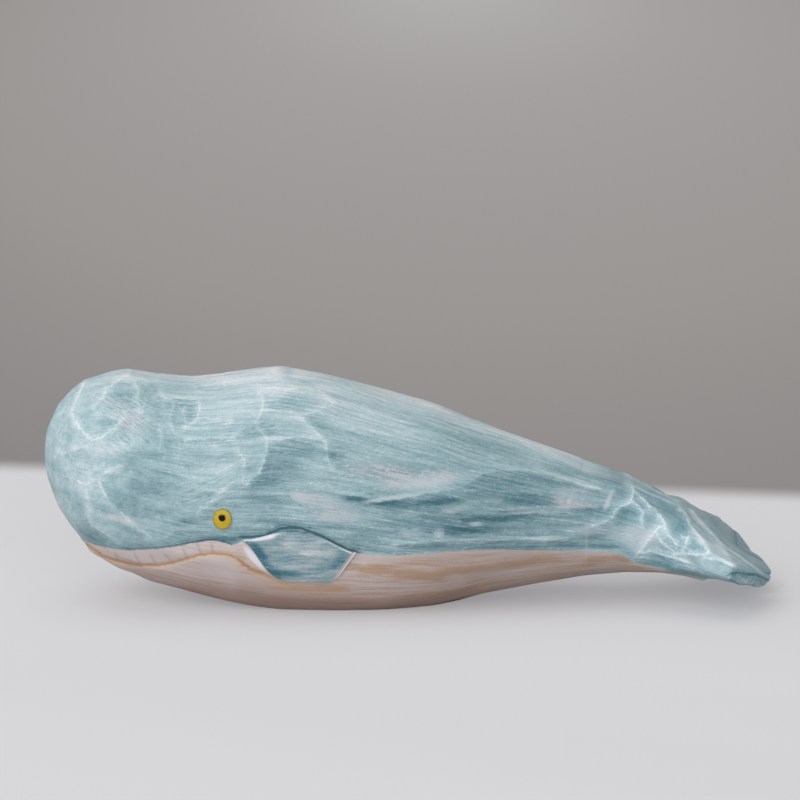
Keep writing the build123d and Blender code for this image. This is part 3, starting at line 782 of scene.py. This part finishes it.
# %% [markdown]
# Four more helpers make what the finishes share: a new material, marks drawn out along the brush, patterns mixed by
# weight, and the gap to a drawn line. Every finish starts from places in mm, so pattern scales are per millimetre.

# %% Pattern helpers


def new_finish(name, roughness=0.6, specular=0.5):
    """A new material with its node tree, its shader node and the places on it in mm."""
    finish = bpy.data.materials.new(name)
    finish.use_nodes = True
    tree = finish.node_tree
    shader = tree.nodes["Principled BSDF"]
    shader.inputs["Roughness"].default_value = roughness
    shader.inputs["Specular IOR Level"].default_value = specular
    spot = add(tree, "TexCoord", output=3)
    return finish, tree, shader, add(tree, "VectorMath", (spot, (1 / MM,) * 3), operation="MULTIPLY")


def brush_marks(tree, sheet, length, width, tilt=0.0, shift=0.0, detail=4.0, roughness=0.6):
    """Noise drawn out into marks of this length and width in mm, tilted by some degrees on the sheet."""
    laid = add(tree, "Mapping", {"Vector": sheet, "Location": (shift,) * 3, "Rotation": (0, 0, math.radians(tilt)),
                                 "Scale": (length, width, width)}, vector_type="TEXTURE")
    return add(tree, "TexNoise", {"Vector": laid, "Scale": 1.0, "Detail": detail, "Roughness": roughness})


def weigh(tree, base, terms, held=None):
    """Adds to a base some other numbers, each less its middle of a half and times its weight, held back if asked."""
    for value, weight in terms:
        centred = add(tree, "Math", (value, 0.5), operation="SUBTRACT")
        if held is not None:
            centred = add(tree, "Math", (centred, held), operation="MULTIPLY")
        base = add(tree, "Math", (centred, weight, base), operation="MULTIPLY_ADD")
    return base


def line_gap(tree, name, wander=None, by=0.0):
    """Gap to a drawn line in mm. Its signed note keeps the line crisp between vertices, and its plain note drops the
    places where the sign turns with no line there."""
    side = add(tree, "Attribute", output=2, attribute_name=name + "_side")
    if wander is not None:
        side = weigh(tree, side, [(wander, by)])
    crisp = add(tree, "Math", {0: side}, operation="ABSOLUTE")
    plain = add(tree, "Attribute", output=2, attribute_name=name + "_mm")
    plain = add(tree, "Math", (plain, 0.35), operation="SUBTRACT")
    return add(tree, "Math", (crisp, plain), operation="MAXIMUM")


# %% [markdown]
# ## Thin acrylic washes on carved basswood
# The painter laid a white ground, brushed thin blue-green over it with a nearly dry brush, and rubbed it back. So the
# colour is one scale from bare white ground to strong teal, and a single number picks the place on it: the dabs, plus
# long brush streaks, plus fine bristle lines, minus what is worn off the crests. Head and tail have calmer streaks.

# %% Marks of the brush
painted, tree, shader, spot_mm = new_finish("acrylic_washes_on_basswood", specular=0.35)
sheet = add(tree, "Attribute", output=1, attribute_name="sheet")
note = {name: add(tree, "Attribute", output=2, attribute_name=name) for name in (
    "wash", "rising", "falling", "mottled", "scuff", "end_grain", "crest_rub", "cut_share", "bare", "ochre", "edge_mm",
    "far", "joint_line")}
broad = brush_marks(tree, sheet, 16, 2.6, 0, 0, 3.0, 0.5)
level = brush_marks(tree, sheet, 7.5, 0.34, 2, 7, 5.0, 0.65)
slope_up = brush_marks(tree, sheet, 5.5, 0.34, -26, 3, 5.0, 0.65)
slope_down = brush_marks(tree, sheet, 6.5, 0.34, 22, 5, 5.0, 0.65)
veils = brush_marks(tree, sheet, 11, 1.0, 3, 31, 3.0, 0.55)
strokes = add(tree, "Mix", {0: note["rising"], 2: level, 3: slope_up}, data_type="FLOAT")
strokes = add(tree, "Mix", {0: note["falling"], 2: strokes, 3: slope_down}, data_type="FLOAT")
speckle = add(tree, "TexNoise", {"Vector": spot_mm, "Scale": 0.9, "Detail": 6.0, "Roughness": 0.75})
grain = add(tree, "TexNoise", {"Vector": spot_mm, "Scale": 3.2, "Detail": 2.0, "Roughness": 0.6})
blotches = add(tree, "TexNoise", {"Vector": spot_mm, "Scale": 0.32, "Detail": 5.0, "Roughness": 0.7})
calm = add(tree, "Math", (note["mottled"], -0.75, 1.0), operation="MULTIPLY_ADD")
depth = weigh(tree, note["wash"], [(strokes, 0.72), (veils, 0.52)], calm)
depth = weigh(tree, depth, [(broad, 0.34), (speckle, 0.26), (grain, 0.27)])
depth = weigh(tree, depth, [(blotches, 0.55)], note["mottled"])
bristles = add(tree, "MapRange", (strokes, 0.60, 0.70, 0.0, -0.13), **SMOOTH)
depth = add(tree, "Math", (bristles, calm, depth), operation="MULTIPLY_ADD")
print(len(tree.nodes), "nodes")

# %% [markdown]
# The head was rubbed with coarse paper, which left fine parallel scratches. The sawn end of the fluke is end grain,
# which drank the paint unevenly. Where the brush was driest, it left white flecks and short dark dashes.

# %% Scratches, end grain and flecks
scratches = brush_marks(tree, sheet, 5.0, 0.20, 38, 23, 2.0, 0.5)
depth = weigh(tree, depth, [(scratches, 1.5)], note["scuff"])
pores = add(tree, "TexNoise", {"Vector": spot_mm, "Scale": 1.1, "Detail": 5.0, "Roughness": 0.8})
depth = weigh(tree, depth, [(pores, 1.9)], note["end_grain"])
fleck_marks = brush_marks(tree, sheet, 1.5, 0.42, -12, 13, 3.0, 0.7)
flecks = add(tree, "MapRange", (fleck_marks, 0.57, 0.70, 0.0, -0.20), **SMOOTH)
dashes = add(tree, "MapRange", (fleck_marks, 0.42, 0.30, 0.0, 0.16), **SMOOTH)
for mark in (flecks, dashes):
    depth = add(tree, "Math", (depth, mark), operation="ADD")
print(len(tree.nodes), "nodes")

# %% [markdown]
# Crests are rubbed white, in breaks, because the cloth doesn't reach all of them alike. Narrow cuts do the opposite:
# they hold more paint, and they are also painted darker as shade, in the cut and beside it.

# %% Rubbed crests and dark cuts
frayed = weigh(tree, line_gap(tree, "crest", speckle, 0.9), [(grain, 0.50), (strokes, 0.60)])
thin_rub = add(tree, "MapRange", (frayed, 0.06, 0.34, 1.0, 0.0), **SMOOTH)
wide_rub = add(tree, "MapRange", (frayed, 0.1, 1.4, 1.1, 0.0), **SMOOTH)
chips = add(tree, "TexNoise", {"Vector": spot_mm, "Scale": 0.30, "Detail": 4.0, "Roughness": 0.65})
broken = add(tree, "MapRange", (chips, 0.36, 0.56, 0.15, 1.0), **SMOOTH)
thin_rub = add(tree, "Math", (thin_rub, broken), operation="MULTIPLY")
rub = add(tree, "Math", (thin_rub, 1.7, wide_rub), operation="MULTIPLY_ADD")
rub = add(tree, "Math", (rub, note["crest_rub"]), operation="MULTIPLY")
depth = add(tree, "Math", (rub, -0.13, depth), operation="MULTIPLY_ADD")
cut = weigh(tree, line_gap(tree, "cut", speckle, 0.4), [(grain, 0.15)])
# Paint pooled in narrow cuts, with painted shade in them and a softer painted shade beside them.
paint_and_shade_in_cut = add(tree, "MapRange", (cut, 0.06, 0.38, 0.62, 0.0), **SMOOTH)
shade_beside_cut = add(tree, "MapRange", (cut, 0.3, 1.8, 0.14, 0.0), **SMOOTH)
for dark in (paint_and_shade_in_cut, shade_beside_cut):
    depth = add(tree, "Math", (dark, note["cut_share"], depth), operation="MULTIPLY_ADD")
print(len(tree.nodes), "nodes")

# %% [markdown]
# The number becomes a colour on two scales, one for the body and a slightly greener one for the tail. Where the brush
# ran dry the pinkish white ground shows, in streaks along the stroke.

# %% Blue scales
blue_wash = add(tree, "ValToRGB", {0: depth}, stops=[
    (0.0, "#DAD9DC"), (1.0, "#38616D"), (0.18, "#C6CED1"), (0.36, "#AABDC2"), (0.54, "#8CA7AD"), (0.72, "#718D94"),
    (0.86, "#557983")])
sea_wash = add(tree, "ValToRGB", {0: depth}, stops=[
    (0.0, "#DDDDE0"), (1.0, "#3B6B77"), (0.18, "#C6D6DA"), (0.36, "#A9BFC6"), (0.54, "#88A3AB"), (0.72, "#6A8F98"),
    (0.86, "#507D88")])
x_mm = add(tree, "SeparateXYZ", {0: spot_mm})
at_tail = add(tree, "MapRange", (x_mm, 38.0, 50.0), **SMOOTH)
blue_wash = add(tree, "Mix", {0: at_tail, 6: blue_wash, 7: sea_wash}, 2, data_type="RGBA")
ragged = weigh(tree, 0.0, [(strokes, 4.2), (veils, 2.2), (broad, 1.0), (grain, 1.6), (speckle, 2.0)])
bare_reach = add(tree, "MapRange", (note["bare"], 0.05, 0.42), **SMOOTH)
ragged = add(tree, "Math", (ragged, bare_reach, note["bare"]), operation="MULTIPLY_ADD")
bare_here = add(tree, "MapRange", (ragged, 0.40, 1.15, 0.0, 0.78), **SMOOTH)
blue_wash = add(tree, "Mix", {0: bare_here, 6: blue_wash, 7: linear("#BABBC0")}, 2, data_type="RGBA")
print(len(tree.nodes), "nodes")

# %% [markdown]
# The belly was left in its pinkish white ground, with thin ochre dragged along the grain. Towards the tail it is
# painted darker as shade, and towards the table it is browner, as stain and painted shade both. Each coat is mixed over
# the last by its share.

# %% Belly
belly_marks = brush_marks(tree, sheet, 14, 0.7, 0, 11)
belly_clouds = brush_marks(tree, sheet, 12, 3.0, 0, 17, 3.0)
thinned = add(tree, "Math", (note["ochre"], 0.75), operation="MULTIPLY")
stain = weigh(tree, thinned, [(belly_marks, 3.2), (belly_clouds, 1.8), (grain, 0.9)])
stain = add(tree, "MapRange", (stain, -0.15, 1.15, 0.0, 0.80), **SMOOTH)
white = add(tree, "MapRange", (note["ochre"], -0.25, -0.9, 0.0, 0.8), **SMOOTH)
kept_white = add(tree, "Math", (white, -0.9, 1.0), operation="MULTIPLY_ADD")
# Painted shade: the belly darkens towards the tail.
aft_belly_shade = add(tree, "MapRange", (x_mm, -15.0, 12.0, 0.0, 0.42), **SMOOTH)
aft_belly_shade = add(tree, "Math", (aft_belly_shade, kept_white), operation="MULTIPLY")
# Stain and painted shade: the lowest part of the belly turns browner.
low_stain_and_shade = add(tree, "MapRange", (note["edge_mm"], -5.5, -11.0, 0.0, 0.66), **SMOOTH)
belly = add(tree, "Mix", {0: belly_clouds, 6: linear("#B5A7A3"), 7: linear("#C9BEBE")}, 2, data_type="RGBA")
for share, code in ((white, "#E2DEE2"), (stain, "#A5825F"), (aft_belly_shade, "#8F7D70"), (low_stain_and_shade, "#97796A")):
    belly = add(tree, "Mix", {0: share, 6: belly, 7: linear(code)}, 2, data_type="RGBA")
print(len(tree.nodes), "nodes")

# %% [markdown]
# The lower lip is one brown line from a thin brush, which bled a little into the wood and was wiped behind the mouth.
# The teeth are grey marks. Both are drawn by the gap to their line, so they stay crisp however coarse the mesh is.

# %% Lips and teeth
lip_edge = weigh(tree, line_gap(tree, "lip", speckle, 0.3), [(grain, 0.40), (belly_marks, 0.8)])
bleed = add(tree, "MapRange", (lip_edge, 0.2, 1.2, 0.35, 0.0), **SMOOTH)
line = add(tree, "MapRange", (lip_edge, 0.08, 0.30, 0.85, 0.0), **SMOOTH)
wiped = add(tree, "MapRange", (x_mm, -32.0, -26.0, 1.0, 0.22), **SMOOTH)
line = add(tree, "Math", (line, wiped), operation="MULTIPLY")
tooth = weigh(tree, line_gap(tree, "tooth"), [(grain, 0.3)])
tooth = add(tree, "MapRange", (tooth, 0.05, 0.50, 0.42, 0.0), **SMOOTH)
for share, code in ((bleed, "#B99873"), (line, "#A67E57"), (tooth, "#8F8B8D")):
    belly = add(tree, "Mix", {0: share, 6: belly, 7: linear(code)}, 2, data_type="RGBA")
print(len(tree.nodes), "nodes")

# %% [markdown]
# Blue and belly meet on the paint line, which wavers with the strokes. The far lobe gets a greyer painted shade, as it
# faces away from the light and is out of focus, and a fine pale line shows where the two blocks are glued.

# %% The two together
wavy = weigh(tree, note["edge_mm"], [(strokes, 0.5), (grain, 0.4)])
blue_here = add(tree, "MapRange", (wavy, -0.12, 0.12), **SMOOTH)
whole = add(tree, "Mix", {0: blue_here, 6: belly, 7: blue_wash}, 2, data_type="RGBA")
# Painted shade: the far lobe is mixed towards a darker grey.
far = add(tree, "Math", (note["far"], 0.42), operation="MULTIPLY")
off_joint = add(tree, "Math", (x_mm, JOINT_X / MM), operation="SUBTRACT")
off_joint = add(tree, "Math", {0: off_joint}, operation="ABSOLUTE")
glue = add(tree, "MapRange", (off_joint, 0.06, 0.30, 0.32, 0.0), **SMOOTH)
glue = add(tree, "Math", (glue, note["joint_line"]), operation="MULTIPLY")
for share, code in ((far, "#8FA1A3"), (glue, "#B5B2AE")):
    whole = add(tree, "Mix", {0: share, 6: whole, 7: linear(code)}, 2, data_type="RGBA")
print(len(tree.nodes), "nodes")

# %% [markdown]
# Thin paint keeps the marks of the bristles and the grain of the wood, so the noise that tints it also raises it, by
# less than a tenth of a millimetre. Thick paint is smoother than bare ground, so the roughness falls with depth.

# %% Surface of the paint
PAINT_RELIEF = 0.14 * MM
raised = weigh(tree, strokes, [(grain, 0.9), (speckle, 0.5)])
relief = add(tree, "Bump", {"Height": raised, "Strength": 0.5, "Distance": PAINT_RELIEF})
tree.links.new(whole, shader.inputs["Base Color"])
tree.links.new(relief, shader.inputs["Normal"])
tree.links.new(add(tree, "MapRange", {0: depth, 3: 0.74, 4: 0.55}), shader.inputs["Roughness"])
print(len(tree.nodes), "nodes")

# %% [markdown]
# ## Flipper finish
# The flippers got the same wash, darker at the front edge and streaked with the pinkish ground. The rear edge shows the
# thickness of the slip, in bare pinkish wood darkened by a painted shade, with a painted white highlight beside it, and
# the top edge is painted white, as rubbed paint and as a painted highlight both.

# %% Flipper paint
FLIPPER_RELIEF = 0.12 * MM
flipper_finish, tree, shader, spot_mm = new_finish("acrylic_wash_on_flipper_wood", specular=0.35)
note = {name: add(tree, "Attribute", output=2, attribute_name=name) for name in ("wash", *flipper_lines)}
strokes = brush_marks(tree, spot_mm, 5.0, 0.5, 0, 2)
clouds = brush_marks(tree, spot_mm, 4.0, 1.6, 0, 5, 3.0)
grain = add(tree, "TexNoise", {"Vector": spot_mm, "Scale": 3.2, "Detail": 2.0, "Roughness": 0.6})
depth = weigh(tree, note["wash"], [(strokes, 0.8), (clouds, 0.7), (grain, 0.45)])
dark_front = add(tree, "MapRange", (note["front_mm"], 0.2, 1.8, 0.30, 0.0), **SMOOTH)
depth = add(tree, "Math", (depth, dark_front), operation="ADD")
colour = add(tree, "ValToRGB", {0: depth}, stops=[
    (0.0, "#D9D4D6"), (1.0, "#386472"), (0.22, "#BAC3C6"), (0.45, "#98A9AE"), (0.68, "#738F97"), (0.85, "#537A85")])
# The top edge: rubbed white paint and a painted highlight.
top_gap = weigh(tree, note["top_mm"], [(grain, 0.3)])
rubbed_and_lit_top = add(tree, "MapRange", (top_gap, 0.08, 0.32, 0.85, 0.0), **SMOOTH)
# Rear edge: bare wood in painted shade, then a thin painted highlight line.
bare_edge_in_shade = add(tree, "MapRange", (note["back_mm"], 1.0, 1.25, 1.0, 0.0), **SMOOTH)
off_line = add(tree, "Math", (note["back_mm"], 0.55), operation="SUBTRACT")
off_line = add(tree, "Math", {0: off_line}, operation="ABSOLUTE")
painted_highlight = add(tree, "MapRange", (off_line, 0.06, 0.26, 0.9, 0.0), **SMOOTH)
for share, code in ((rubbed_and_lit_top, "#D2D6D9"), (bare_edge_in_shade, "#A9A0A0"), (painted_highlight, "#D9D8DA")):
    colour = add(tree, "Mix", {0: share, 6: colour, 7: linear(code)}, 2, data_type="RGBA")
raised = weigh(tree, strokes, [(grain, 0.8)])
relief = add(tree, "Bump", {"Height": raised, "Strength": 0.4, "Distance": FLIPPER_RELIEF})
tree.links.new(colour, shader.inputs["Base Color"])
tree.links.new(relief, shader.inputs["Normal"])
print(len(tree.nodes), "nodes")

# %% [markdown]
# ## Eye paints and the dowel
# Mustard yellow and black are thick hobby enamels. The yellow is smoother and a little glossier than the washes, and
# darker at its rim, where it ran thin over the blue. The dowel is bare turned beech, with its grain along X.

# %% Enamels and beech
yellow, tree, shader, spot_mm = new_finish("mustard_enamel", 0.42)
cloud = add(tree, "TexNoise", {"Vector": spot_mm, "Scale": 1.5, "Detail": 4.0, "Roughness": 0.6})
rim = add(tree, "Attribute", output=2, attribute_name="from_middle")
rim = weigh(tree, rim, [(cloud, 0.25)])
colour = add(tree, "ValToRGB", {0: rim}, stops=[
    (0.0, "#B89E12"), (1.0, "#7D6F22"), (0.55, "#B59A12"), (0.84, "#AB931E")])
relief = add(tree, "Bump", {"Height": cloud, "Strength": 0.3, "Distance": 0.1 * MM})
tree.links.new(colour, shader.inputs["Base Color"])
tree.links.new(relief, shader.inputs["Normal"])

black, tree, shader, spot_mm = new_finish("black_enamel", 0.50, 0.08)
cloud = add(tree, "TexNoise", {"Vector": spot_mm, "Scale": 2.0, "Detail": 3.0})
colour = add(tree, "Mix", {0: cloud, 6: linear("#0A0A10"), 7: linear("#17171E")}, 2, data_type="RGBA")
tree.links.new(colour, shader.inputs["Base Color"])

beech, tree, shader, spot_mm = new_finish("turned_beech")
fibres = brush_marks(tree, spot_mm, 8, 0.5)
colour = add(tree, "Mix", {0: fibres, 6: linear("#B98F63"), 7: linear("#DDBB90")}, 2, data_type="RGBA")
tree.links.new(colour, shader.inputs["Base Color"])

print("finishes:", [finish.name for finish in (painted, flipper_finish, yellow, black, beech)])

# %% [markdown]
# ## The table and the light
# The whale lies on a pale cloth in front of a grey wall, both plain. One large floor does for both: it turns from pale
# to grey on a soft line behind the whale, where the photograph loses focus. The grey part is shown to the camera at
# its own brightness, so that it needs no lamp of its own, and the cloth partly so, which keeps it as pale as it was.

# %% Table
TABLE_SIZE = 6
bpy.ops.mesh.primitive_plane_add(size=TABLE_SIZE)
table = bpy.context.object
table.name = "table"
cloth, tree, shader, spot_mm = new_finish("plain_pale_cloth", 0.9, 0.1)
spot = add(tree, "TexCoord", output=3)
across = add(tree, "SeparateXYZ", {0: spot})
away = add(tree, "SeparateXYZ", {0: spot}, 1)
# Painted shade of soft cloth folds: long faint bands, slightly darker and lighter, on a flat plane.
fold = add(tree, "Mapping", {"Vector": spot, "Rotation": (0, 0, math.radians(-20)), "Scale": (0.35, 0.07, 1.0)},
           vector_type="TEXTURE")
fold_shade = add(tree, "TexNoise", {"Vector": fold, "Scale": 1.0, "Detail": 2.0, "Roughness": 0.4})
pale = add(tree, "Mix", {0: fold_shade, 6: linear("#CDCDD0"), 7: linear("#D9D8DB")}, 2, data_type="RGBA")
tree.links.new(pale, shader.inputs["Base Color"])
slanted = add(tree, "Math", (across, 0.18, away), operation="MULTIPLY_ADD")
behind = add(tree, "MapRange", (slanted, 0.104, 0.124), **SMOOTH)
# Painted light: the grey wall glows brightest round one point behind the whale and darker outwards.
widened = add(tree, "VectorMath", (spot, (4.5, 1.0, 1.0)), operation="MULTIPLY")
from_middle = add(tree, "VectorMath", (widened, (0.12, 1.5, 0.0)), 1, operation="DISTANCE")
wall_light_falloff = add(tree, "MapRange", (from_middle, 0.0, 1.6))
wall_colour = add(tree, "ValToRGB", {0: wall_light_falloff}, stops=[
    (0.0, "#B3B1B0"), (1.0, "#7E7A79"), (0.35, "#A4A1A0"), (0.72, "#9A9795"), (0.9, "#8E8A89")])
wall = add(tree, "Emission", {"Color": wall_colour, "Strength": 1.0})
seen = add(tree, "LightPath")
shown = add(tree, "Math", (behind, seen), operation="MULTIPLY")
bright_cloth = add(tree, "Emission", {"Color": linear("#D7D6D9"), "Strength": 1.0})
softened = add(tree, "Math", (seen, 0.40), operation="MULTIPLY")
near_cloth = add(tree, "MixShader", (softened, shader.outputs[0], bright_cloth))
mixed = add(tree, "MixShader", (shown, near_cloth, wall))
tree.links.new(mixed, tree.nodes["Material Output"].inputs["Surface"])
table.data.materials.append(cloth)
print(len(tree.nodes), "nodes")

# %% [markdown]
# The light is soft, as in a room: an even white sky, a large box overhead, a window on the left, and a wide low fill
# behind the photographer, which opens the shade under the belly.

# %% Light
SKY_STRENGTH = 0.46
AIM = Vector((0, 0, 0.02))
world = bpy.data.worlds.new("studio")
scene.world = world
world.use_nodes = True
world.node_tree.nodes["Background"].inputs["Color"].default_value = (1.0, 1.0, 1.0, 1.0)
world.node_tree.nodes["Background"].inputs["Strength"].default_value = SKY_STRENGTH


def soft_light(name, place, size, power):
    """A square lamp that faces the whale."""
    bpy.ops.object.light_add(type="AREA", location=place)
    lamp = bpy.context.object
    lamp.name = name
    lamp.data.size = size
    lamp.data.energy = power
    lamp.rotation_euler = (AIM - Vector(place)).to_track_quat("-Z", "Y").to_euler()
    print(name, power, "W")


soft_light("overhead_soft_box", (-0.30, 0.10, 1.0), 0.8, 2.8)
soft_light("window_on_the_left", (-0.95, -0.75, 0.75), 1.0, 10.0)
soft_light("low_fill_in_front", (0.15, -2.0, 0.72), 1.2, 15.0)
scene.view_settings.view_transform = "Standard"

# %% [markdown]
# ## Hand the pieces over
# Every piece gets its finish and rides on the one body, and the CAD node that it stands for is hidden.
# The dowel is hidden in its bore, so the CAD node itself does, with only its finish.

# %% Ride and replace
handed = [
    (carved_body, "body", "painted_wood", painted), (carved_tail, "tail", "painted_wood", painted),
    (slip_left, "flipper_left", "flipper_wood", flipper_finish),
    (slip_right, "flipper_right", "flipper_wood", flipper_finish),
    (bead_left, "eye_left", "yellow_enamel", yellow), (bead_right, "eye_right", "yellow_enamel", yellow),
    (drop_left, "pupil_left", "black_enamel", black), (drop_right, "pupil_right", "black_enamel", black),
]
dowel = frame["nodes"]["tail_dowel"]
dowel.data.materials.clear()
dowel.data.materials.append(beech)
for piece, node_name, slot_name, finish in handed:
    piece.data.materials.clear()
    piece.data.materials.append(finish)
    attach(piece, "root")
    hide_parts(node_name)
bpy.ops.object.select_all(action="DESELECT")
